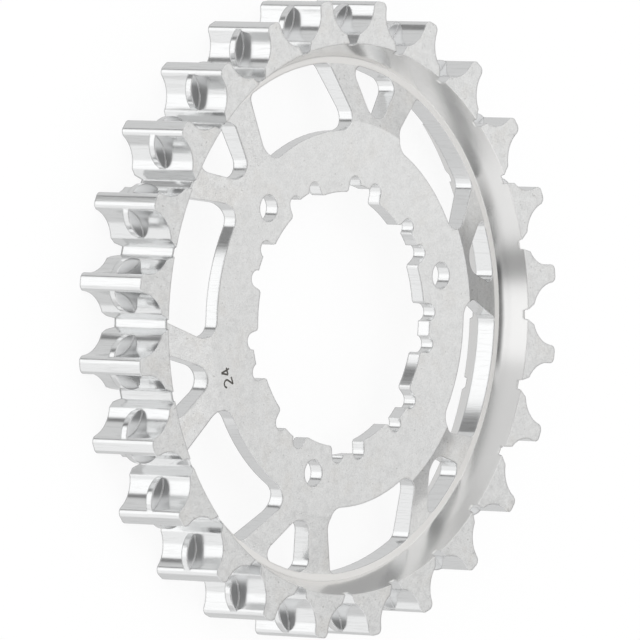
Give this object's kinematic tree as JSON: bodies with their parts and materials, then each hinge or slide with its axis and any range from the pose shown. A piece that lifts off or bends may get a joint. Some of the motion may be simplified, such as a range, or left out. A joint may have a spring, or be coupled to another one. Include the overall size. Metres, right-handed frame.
{
  "type": "belt drive sprocket",
  "caption": "Rear bicycle sprocket for a toothed belt, with a fin on each tooth flank, a dished web with windows and a splined opening that slides onto a freehub.",
  "frame": {"origin": "on the axis of rotation, in the plane of the tooth back faces that the sprocket lies on", "axes": "+Z along the axis of rotation, out of the dished front face; +X points at a gap between two teeth"},
  "size_m": [0.0812, 0.0812, 0.0103],
  "materials": {
    "machined_aluminium": "satin machined"
  },
  "bodies": {
    "root": {"belt_sprocket": "machined_aluminium"}
  },
  "joints": []
}
